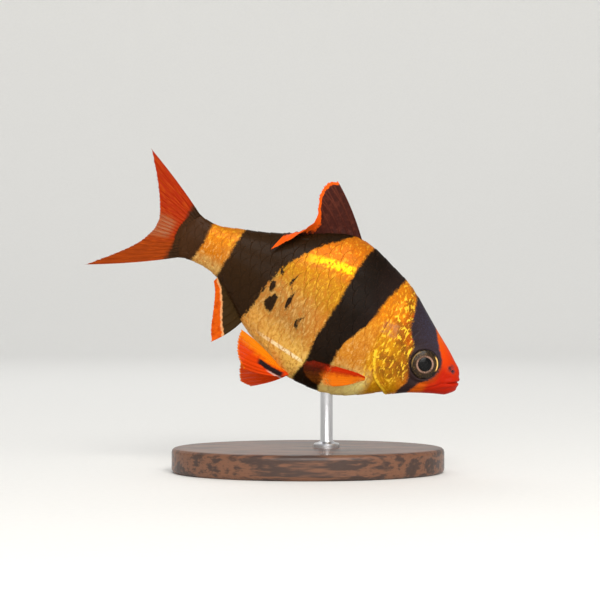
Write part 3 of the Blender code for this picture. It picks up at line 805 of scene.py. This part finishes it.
dorsal = {
    "base": (23.9, 34.9),
    "sunk": 0.5,
    "tips": [(32.1, 0, 19.4), (33.4, -0.1, 18.4), (33.7, -0.5, 16.4), (33.0, -1.2, 14.4),
             (32.3, -2.4, 12.2), (33.1, -3.3, 9.9), (34.6, -3.7, 7.2), (36.5, -3.6, 4.5)],
    "bends": [(28.1, 0, 16.9), (29.2, 0, 16.2), (30.2, -0.1, 15.1), (31.0, -0.4, 13.7),
              (31.5, -0.9, 12.2), (32.4, -1.6, 11.2), (33.8, -2.2, 10.1), (35.6, -2.6, 8.7)],
}
dorsalTips, dorsalBends = lineThrough(dorsal["tips"]), lineThrough(dorsal["bends"])


def dorsalPlace(across, out):
    start, end = dorsal["base"]
    at = start + (end - start) * across[..., 0]
    root = finPoint(at, 0, outline["back"](at) - dorsal["sunk"])
    return bentRay(root, dorsalBends(across[..., 0]), dorsalTips(across[..., 0]), out)


caudal = {
    "root": 50.3,
    "sunk": 1.3,
    "tips": [(61.4, 0, 10.45), (58.8, 0, 7.25), (57.0, 0, 4.7), (55.9, 0, 2.9), (55.2, 0, 1.5),
             (54.9, 0, 0.4), (54.9, 0, -0.6), (55.3, 0, -2.0), (56.1, 0, -3.8), (57.6, 0, -5.9),
             (59.7, 0, -8.3), (62.5, 0, -11.3)],
    "bend": (0.42, 0, 0.5),  # the bend's share of the way from root to tip
    "edges": (4.35, -3.15),
    "middle": 0.6,
    "reach": 3.95,
    "bow": 1.5,
}
anal = {
    "base": (35.4, 42.2),
    "sunk": 0.5,
    "tips": [(38.5, 0, -13.1), (39.5, 0, -11.2), (40.2, 0, -9.2), (40.9, 0, -7.2), (41.6, 0, -5.5),
             (42.5, 0, -4.1)],
    "bend": (0.25, 0, 0.5),
}


def caudalRoot(across):
    upper, lower = caudal["edges"]
    height = upper + (lower - upper) * across
    bow = caudal["bow"] * (1 - ((height - caudal["middle"]) / caudal["reach"]) ** 2)
    return finPoint(caudal["root"] + bow - caudal["sunk"], 0, height)


def analRoot(across):
    start, end = anal["base"]
    at = start + (end - start) * across
    return finPoint(at, 0, outline["belly"](at) + anal["sunk"])


def middlePlace(fin, rootOf):
    tips = lineThrough(fin["tips"])

    def place(across, out):
        root, tip = rootOf(across[..., 0]), tips(across[..., 0])
        return bentRay(root, root + (tip - root) * fin["bend"], tip, out)

    return place


# The paired fins: the bend of each ray as (at the first ray, more towards the last)
pelvic = {
    "base": [(24.9, -12.15), (26.9, -11.7)],
    "sunk": (0.2, 0.05),  # how far the root lies inside the flank, and up
    "stand": 1.3,  # how far the bend stands off the flank
    "back": (0.3, 0.2),  # the bend's share of the way back
    "rise": (-1.1, 2.6),
    "fall": (0.25, 0.0),  # the bend's share of the way down
    "Right": [(32.0, -14.3, 3.2), (33.2, -13.3, 3.7), (34.2, -12.0, 3.9), (34.8, -10.4, 3.8),
              (35.0, -8.9, 3.5)],
    "Left": [(29.6, -16.9, 4.4), (31.2, -17.0, 5.2), (32.2, -15.9, 5.7), (32.7, -14.4, 5.8),
             (32.5, -12.8, 5.5)],
}
pectoral = {
    "base": [(14.1, -6.6), (13.9, -7.2)],
    "sunk": (0.5, 0.0),
    "stand": 1.5,
    "back": (0.3, 0.0),
    "rise": (0.0, 0.0),
    "fall": (0.12, 0.4),
    "tips": [(22.9, -8.1, 6.7), (23.8, -9.1, 6.8), (23.4, -10.1, 6.6), (22.2, -10.9, 6.3),
             (20.6, -11.2, 5.9), (18.8, -10.8, 5.5)],
}


def pairedPlace(fin, tipPoints, side):
    (x0, z0), (x1, z1) = fin["base"]
    tips = lineThrough(tipPoints)
    inward, upward = fin["sunk"]
    (back, backMore), (rise, riseMore), (fall, fallMore) = (fin[key] for key in ("back", "rise", "fall"))

    def place(across, out):
        across = across[..., 0]
        at, height = x0 + (x1 - x0) * across, z0 + (z1 - z0) * across
        wide = section(at, turnAt(at, height))[..., 1]
        far, low, apart = np.moveaxis(tips(across), -1, 0)
        root = finPoint(at, side * (wide - inward), height + upward)
        near = across**2
        bend = finPoint(at + (back + backMore * near) * (far - at), side * (wide + fin["stand"]),
                        height + rise + riseMore * near + (fall + fallMore * across) * (low - height))
        return bentRay(root, bend, finPoint(far, side * apart, low), out)

    return place


def rayRidges(across, out, rays, width):
    # how much of a ray each point of the sheet holds, 0 on the membrane and 1 on a ray's crest
    shape = finShape
    position = across * (rays - 1)
    ridge = np.zeros(np.broadcast(across, out).shape)
    (forkOne, spreadOne), (forkTwo, spreadTwo) = shape["forks"]
    one = spreadOne * ease(forkOne, 1.15, out)
    two = spreadTwo * ease(forkTwo, 1.2, out)
    thin = 1 - 0.62 * out
    for number in range(rays):
        simple = number == 0 or (number == rays - 1 and rays > 12)
        inward = 0.3 * ease(forkOne, 1.0, out) if number == rays - 1 else 0
        for first in (-1, 1):
            for second in (-1, 1):
                offset = 0 if simple else first * one + second * two - inward
                distance = (position - number - offset) * width
                ridge = np.maximum(ridge, hump(distance, shape["rayWidth"] * thin * (1.5 if simple else 1)))
    return ridge


def makeFin(name, placeOf, rays, material, slot, replaced, thick=1.0):
    shape = finShape
    across = np.linspace(0, 1, (rays - 1) * shape["columns"] + 1)[:, None]
    out = np.linspace(0, 1, shape["rows"])[None, :] ** 0.9
    sheet = placeOf(*[a[..., None] for a in np.broadcast_arrays(across, out)])
    length = np.linalg.norm(np.diff(sheet, axis=1), axis=-1).sum(1, keepdims=True)
    width = np.linalg.norm(np.gradient(sheet, axis=0), axis=-1) * shape["columns"]
    ridge = rayRidges(across, out, rays, width)
    reach = out * (1 - shape["scallop"] * (1 - ridge[:, -1:]) * out**6
                   - shape["fray"] * rng.random((across.size, 1)) * out**8)
    sheet = placeOf(*[a[..., None] for a in np.broadcast_arrays(across, reach)])
    normal = gridNormals(sheet, False)
    ripple = shape["ripple"] * np.sin(across * (rays - 1) * 2 * math.pi + 1.0) * out
    sheet = sheet + normal * ripple[..., None]
    half = shape["membrane"] + shape["ray"] * thick * ridge * (1 - 0.7 * out)
    half = half + shape["sheath"] * thick * hump(out * length, shape["sheathReach"])
    half = (half * (1 - 0.6 * out**8))[..., None]
    points = np.concatenate([(sheet + normal * half).reshape(-1, 3), (sheet - normal * half).reshape(-1, 3)])
    share = np.stack(np.broadcast_arrays(across, out), -1).reshape(-1, 2)
    faces, bakeMap = slab(*ridge.shape, share, shape["cellMap"])
    fin = np.stack(np.broadcast_arrays(across, out, (1 - out) * length), -1).reshape(-1, 3)
    values = {"place": np.tile(sheet.reshape(-1, 3), (2, 1)), "fin": np.tile(fin, (2, 1)),
              "ray": np.tile(ridge.ravel(), 2)}
    asPiece(makeMesh(name, points, [faces], material, values, bakeMap), slot, *replaced)


finLook = {
    "dorsalBlack": tone(56, 23, 17),
    "dorsalRay": tone(98, 47, 33),
    "dorsalMargin": tone(226, 86, 14),
    "red": tone(150, 36, 0),
    "redDeep": tone(134, 50, 4),
    "redStreak": tone(178, 72, 8),
    "clear": tone(160, 92, 40),
    "bandBlack": tone(48, 30, 16),
    "analBlack": tone(52, 36, 14),
    "analOrange": tone(206, 84, 4),
    "analPale": tone(214, 150, 96),
    "pelvicRed": tone(206, 60, 0),
    "pelvicGold": tone(222, 122, 6),
    "pelvicStreak": tone(34, 24, 26),
    # a painted highlight: the pale line on the pelvic fin
    "pelvicPale": tone(196, 178, 168),
    "pectoralEdge": tone(190, 42, 0),
    "pectoral": tone(172, 40, 0),
    "pectoralGold": tone(218, 108, 8),
}


class FinPaint(Paint):
    def __init__(self, name):
        super().__init__(name, finLook, Coat_Weight=0.02, Coat_Roughness=0.25, Specular_IOR_Level=0.04)
        self.across, self.out, self.margin = self.parts(self.attribute("fin", "Vector"))
        self.place = self.attribute("place", "Vector")
        self.ray = self.attribute("ray")
        self.speckle = self.noise(self.place, 1.4, 3.0, 0.6)
        self.sway = self.speckle - 0.5

    def finish(self, colour, alpha=None):
        relief = self.sine(self.out * 150) * self.ray * 0.5 + self.speckle * 0.5
        sockets = {"Base_Color": colour, "Roughness": 0.5 + self.speckle * 0.2,
                   "Normal": self.bumped(relief, 0.25, 0.00005)}
        if alpha:
            sockets["Alpha"] = alpha
        return self.feed(**sockets)


def makeDorsalPaint():
    fin = FinPaint("darkFin")
    edge = fin.margin / (0.7 + fin.step(fin.across, 0.4, 0.75) * 2.2) + fin.sway * 1.1
    return fin.finish(fin.layers(
        "dorsalBlack", (fin.ray * fin.step(fin.out, 0.0, 0.8) * 0.6, "dorsalRay"),
        (fin.step(fin.speckle, 0.45, 0.75) * 0.5, "dorsalRay"), (fin.step(edge, 1.15, 0.85), "dorsalMargin")))


def makeCaudalPaint():
    fin = FinPaint("redTailFin")
    streaks = fin.noise(fin.node("CombineXYZ", None, {0: fin.across * 110, 1: fin.out * 5}), 1.0, 2.0)
    inner = fin.between(fin.across + fin.sway * 0.06, 0.28, 0.4, 0.6, 0.7)
    clear = inner * fin.step(fin.out, 0.25, 0.6) * (1 - fin.ray * 0.6)
    root = fin.step(fin.out + fin.sway * 0.14 - inner * 0.05, 0.24, 0.12)
    colour = fin.layers("red", (fin.step(fin.across, 0.55, 0.75), "redDeep"),
                        (fin.step(streaks, 0.48, 0.68) * 0.6, "redStreak"),
                        (clear * 0.85, "clear"), (root, "bandBlack"))
    return fin.finish(colour, 1 - clear * 0.28)


def makeAnalPaint():
    fin = FinPaint("redAnalFin")
    edge = fin.margin + fin.sway * 0.8 - (2.1 - fin.across * 1.3)
    return fin.finish(fin.layers(
        "analOrange", (fin.step(fin.speckle, 0.4, 0.7) * 0.5, "red"),
        (fin.step(edge, -0.35, -0.1), "analPale"), (fin.step(edge, 0.0, 0.25), "analBlack")))


def makePelvicPaint():
    fin = FinPaint("redPelvicFin")
    behind, _, height = fin.parts(fin.place)
    gold = fin.step(fin.across + fin.sway * 0.4 - fin.out * 0.35, 0.3, 0.65)
    # the black streak across it and the pale line under that, which is a painted highlight
    lean = height - behind * 0.096
    paintedHighlight = fin.between(lean, -15.85, -15.7, -15.55, -15.4) * fin.between(behind, 24.8, 25.6, 27.6, 28.8)
    lean = lean + fin.sway * 0.3 + fin.between(behind, 25.0, 28.0, 28.0, 31.0) * 0.15
    streak = fin.between(lean, -15.5, -15.3, -14.75, -14.5) * fin.between(behind, 25.4, 26.2, 29.9, 30.7)
    colour = fin.layers("pelvicRed", (gold, "pelvicGold"),
                        (fin.step(fin.margin + fin.sway * 0.5, 0.35, 0.1) * 0.6, "pelvicGold"),
                        (paintedHighlight * 0.7, "pelvicPale"), (streak, "pelvicStreak"))
    return fin.finish(colour, 1 - (1 - fin.ray) * fin.step(fin.out, 0.4, 1.0) * 0.2)


def makePectoralPaint():
    fin = FinPaint("clearRedFin")
    upper = fin.step(fin.across + fin.sway * 0.1, 0.32, 0.1)
    gold = fin.step(fin.across + fin.sway * 0.5, 0.25, 0.6)
    near = fin.step(fin.out - fin.across * 0.2 + fin.sway * 0.2, 0.74, 0.54)
    solid = 0.02 + fin.ray * 0.05 + near * 0.84 + upper * (0.1 + near * 0.2)
    solid = solid - fin.step(fin.across, 0.45, 0.9) * fin.step(fin.out, 0.45, 0.2) * 0.4
    colour = fin.layers("pectoral", (gold, "pectoralGold"), (upper, "pectoralEdge"))
    return fin.finish(colour, fin.mix(fin.step(fin.out, 0.0, 0.12), (1, 1, 1, 1), solid))


def makeFins():
    makeFin("dorsalFin", dorsalPlace, 10, makeDorsalPaint(), "dark_fin", ["dorsal_fin"])
    makeFin("caudalFin", middlePlace(caudal, caudalRoot), 19, makeCaudalPaint(), "red_fin",
            ["caudal_fin_upper", "caudal_fin_lower"])
    makeFin("analFin", middlePlace(anal, analRoot), 8, makeAnalPaint(), "red_fin", ["anal_fin"])
    under, breast = makePelvicPaint(), makePectoralPaint()
    for side, label in ((1, "Left"), (-1, "Right")):
        makeFin("pelvicFin" + label, pairedPlace(pelvic, pelvic[label], side), 8, under, "red_fin",
                ["pelvic_fin_" + label.lower()], 0.8)
        makeFin("pectoralFin" + label, pairedPlace(pectoral, pectoral["tips"], side), 10, breast, "clear_fin",
                ["pectoral_fin_" + label.lower()], 0.7)


makeFins()

# Eyes: (radius, height over the skin) of the eyeball from its crown inward, in mm
eyeShape = {
    "profile": [(0.0, 0.56), (0.5, 0.53), (0.85, 0.46), (1.08, 0.37), (1.15, 0.32), (1.22, 0.335),
                (1.36, 0.35), (1.48, 0.335), (1.58, 0.31), (1.85, 0.22), (2.15, 0.1), (2.3, -0.03),
                (2.35, -0.25), (2.3, -0.6), (1.7, -1.1), (0.8, -1.35), (0.0, -1.4)],
    "around": 96,
    "rings": 65,
    "sunk": 0.02,
}
eyeLook = {
    "pupil": tone(10, 9, 10),
    "ring": tone(158, 122, 104),
    "ringDim": tone(96, 74, 62),
    "iris": tone(52, 36, 22),
    "irisOuter": tone(30, 22, 16),
    "gold": tone(246, 196, 110),
    "dullGold": tone(140, 110, 60),
}


def makeEyePaint():
    paint = Paint("wetEye", eyeLook, Coat_Weight=0.14, Coat_Roughness=0.03, Specular_IOR_Level=0.1)
    step, between = paint.step, paint.between
    radius, forward, up = paint.parts(paint.attribute("iris", "Vector"))
    grain = paint.noise(paint.attribute("place", "Vector"), 5.0, 3.0, 0.6)
    edge = radius + (grain - 0.5) * 0.08
    front = between(edge, 1.96, 2.04, 2.18, 2.28) * step(forward * 0.88 + up * 0.47, 0.8, 0.93)
    rear = between(edge, 1.96, 2.02, 2.12, 2.2) * step(up * 0.12 - forward, 0.7, 0.95)
    ring = between(edge, 1.12, 1.19, 1.37, 1.47)
    bright = step(grain + forward * up * 0.3, 0.3, 0.6)
    colour = paint.layers(
        "iris", (step(edge, 1.4, 2.1), "irisOuter"), (step(grain, 0.5, 0.75) * 0.5, "dullGold"),
        (front, "gold"), (rear * 0.7, "dullGold"), (ring, paint.mix(bright, "ringDim", "ring")),
        (step(radius, 1.15, 1.09), "pupil"))
    return paint.feed(Base_Color=colour, Metallic=ring * 0.5, Roughness=0.2 + grain * 0.2)


def makeEyes():
    shape = eyeShape
    count = shape["around"]
    profile = np.array(shape["profile"])
    fine = np.linspace(0, len(profile) - 1, shape["rings"])
    radius, height = (np.interp(fine, np.arange(len(profile)), column) for column in profile.T)
    height[:-1] -= shape["sunk"]
    turn = np.arange(count) * 2 * math.pi / count
    cosine, sine = np.cos(turn)[None, :, None], np.sin(turn)[None, :, None]
    quads, fans = tubeFaces(shape["rings"] - 2, count)
    iris = np.stack(np.broadcast_arrays(radius[1:-1, None], cosine[..., 0], sine[..., 0]), -1)
    iris = np.concatenate([iris.reshape(-1, 3), np.zeros((2, 3))])
    material = makeEyePaint()
    for side, label in ((1, "Left"), (-1, "Right")):
        axis, centre = eyeAxis * (1, side, 1), eyeCentre * (1, side, 1)
        forward = np.array((-1.0, 0, 0))
        forward = unit(forward - axis * forward.dot(axis))
        up = np.cross(axis, forward)
        up = up * np.sign(up[2])
        points = centre + radius[1:-1, None, None] * (forward * cosine + up * sine)
        points = points + axis * height[1:-1, None, None]
        ends = [centre + axis * height[0], centre + axis * height[-1]]
        places = np.concatenate([points.reshape(-1, 3), ends])
        thing = makeMesh("eye" + label, places, [quads[:, ::-side], fans[:, ::-side]], material,
                         {"place": places, "iris": iris})
        asPiece(thing, "eye", "eye_" + label.lower())


makeEyes()

# Stand: the base keeps its solid and gets its wood, the rod is turned with a foot
standLook = {
    "woodLight": tone(112, 70, 44),
    "woodDark": tone(58, 34, 22),
    "steel": (0.62, 0.62, 0.64, 1),
    "rodRadius": 1.0,
    "footRadius": 2.1,
    "footHeight": 1.1,
    "rodAround": 64,
    "into": 0.7,  # how far the rod goes on into the belly
}


def makeStand():
    wood = Paint("walnut", standLook, Coat_Weight=0.35, Coat_Roughness=0.18)
    coordinates = wood.node("TexCoord", output="Object")
    grain = wood.noise(wood.stretched(coordinates, (40, 420, 420)), 1.0, 4.0, 0.6)
    pores = wood.noise(wood.stretched(coordinates, (300, 3200, 3200)), 1.0, 2.0, 0.6)
    rings = wood.sine((grain * 26) + 1.0)
    colour = wood.layers("woodDark", (wood.step(rings, -1.0, 1.0), "woodLight"),
                         (wood.step(pores, 0.58, 0.7) * 0.6, "woodDark"))
    wood.feed(Base_Color=colour, Roughness=0.38 + pores * 0.2, Normal=wood.bumped(pores, 0.15, 0.00005))
    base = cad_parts["stand_base"]
    base.data.materials.clear()
    base.data.materials.append(wood.material)

    steel = Paint("brushedSteel", standLook, Base_Color=standLook["steel"], Metallic=1.0)
    coordinates = steel.node("TexCoord", output="Object")
    brushed = steel.noise(steel.stretched(coordinates, (900, 900, 9000)), 1.0, 2.0)
    steel.feed(Roughness=0.24 + brushed * 0.14)
    low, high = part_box("stand_rod")
    middle = np.array(((low.x + high.x) / 2, 0, 0))
    foot, top = low.z / mm - 0.3, high.z / mm + standLook["into"]
    r, wide, tall = standLook["rodRadius"], standLook["footRadius"], standLook["footHeight"]
    profile = [(wide, foot), (wide, foot + tall * 0.45), (wide - 0.12, foot + tall * 0.6),
               (r + 0.45, foot + tall * 0.72), (r + 0.12, foot + tall * 0.86), (r, foot + tall * 1.1),
               (r, top - 0.2), (r - 0.2, top)]
    count = standLook["rodAround"]
    faces = gridFaces(len(profile), count, True)[:, ::-1]
    caps = np.array([np.arange(count)[::-1], (len(profile) - 1) * count + np.arange(count)])
    points = turned(profile, count) * mm + middle
    thing = makeMesh("standRod", points, [faces, caps], steel.material, inWorld=True)
    thing.data.set_sharp_from_angle(angle=math.radians(35))
    asPiece(thing, "rod_steel", "stand_rod")


makeStand()

# Stage
stage = {
    "paper": tone(240, 239, 236),
    "paperShade": tone(235, 234, 231),
    "distance": 0.2689,
    "lens": 100.0,
    "elevation": math.radians(0.5),
    "framePixels": 600,
    "snoutPixel": (460, 378),
    "pixel": 0.16133 * mm,
    "cove": {"radius": 0.7, "curve": 0.25, "height": 0.5, "steps": 20, "around": 96},
    "lamps": [  # name, place, aim, size, power, colour
        ("key", (0.08, -0.32, 0.3), (0, 0, 0.02), (0.25, 0.2), 1.3, (1.0, 0.97, 0.92)),
        ("fill", (0.02, -0.5, 0.16), (0, 0, 0.05), (0.45, 0.12), 0.72, (1.0, 0.98, 0.95)),
        ("rim", (-0.1, 0.28, 0.3), (0, 0, 0.02), (0.3, 0.12), 0.2, (1, 1, 1)),
        ("wash", (0, 0.25, 0.42), (0, 0.7, 0.12), (0.5, 0.1), 0.3, (1, 1, 1)),
    ],
    "sky": 0.62,
    "skyColour": (0.85, 0.87, 0.9, 1),
}


def put(name, data, place, aim):
    thing = bpy.data.objects.new(name, data)
    thing.location = place
    thing.rotation_euler = (Vector(aim) - Vector(place)).to_track_quat("-Z", "Y").to_euler()
    bpy.context.scene.collection.objects.link(thing)
    return thing


def makeCamera():
    middle = stage["framePixels"] / 2
    pixelX, pixelY = stage["snoutPixel"]
    aim = snout + Vector((middle - pixelX, 0, pixelY - middle)) * stage["pixel"]
    back = Vector((0, -math.cos(stage["elevation"]), math.sin(stage["elevation"])))
    camera = bpy.data.cameras.new("camera")
    camera.lens = stage["lens"]
    camera.sensor_width = 36
    camera.clip_start = 0.01
    camera.clip_end = 5
    bpy.context.scene.camera = put("camera", camera, aim + back * stage["distance"], aim)


def makeCove():  # a round floor that curves up into a wall, so that every side has a plain backdrop
    cove = stage["cove"]
    radius, curve, steps, count = (cove[key] for key in ("radius", "curve", "steps", "around"))
    profile = [(0.08, 0.0), (0.2, 0.0), (radius - curve, 0.0)]
    for i in range(1, steps + 1):
        lean = math.pi / 2 * i / steps
        profile.append((radius - curve + curve * math.sin(lean), curve - curve * math.cos(lean)))
    profile.append((radius, cove["height"]))
    faces = [gridFaces(len(profile), count, True), [np.arange(count)]]
    paper = Paint("paper", stage, Roughness=0.85)
    grain = paper.noise(paper.node("TexCoord", output="Object"), 900.0)
    paint = paper.feed(Base_Color=paper.mix(grain, "paper", "paperShade"))
    makeMesh("cove", turned(profile, count), faces, paint, inWorld=True)


def makeLights():
    for name, place, aim, size, power, colour in stage["lamps"]:
        data = bpy.data.lights.new(name, "AREA")
        data.shape = "RECTANGLE"
        data.size, data.size_y = size
        data.energy = power
        data.color = colour
        put(name, data, place, aim).visible_camera = False
    world = bpy.data.worlds.new("studio")
    world.use_nodes = True
    sky = world.node_tree.nodes["Background"].inputs
    sky["Color"].default_value = stage["skyColour"]
    sky["Strength"].default_value = stage["sky"]
    bpy.context.scene.world = world
    bpy.context.scene.view_settings.view_transform = "Standard"


makeCamera()
makeCove()
makeLights()
print("stage ready")
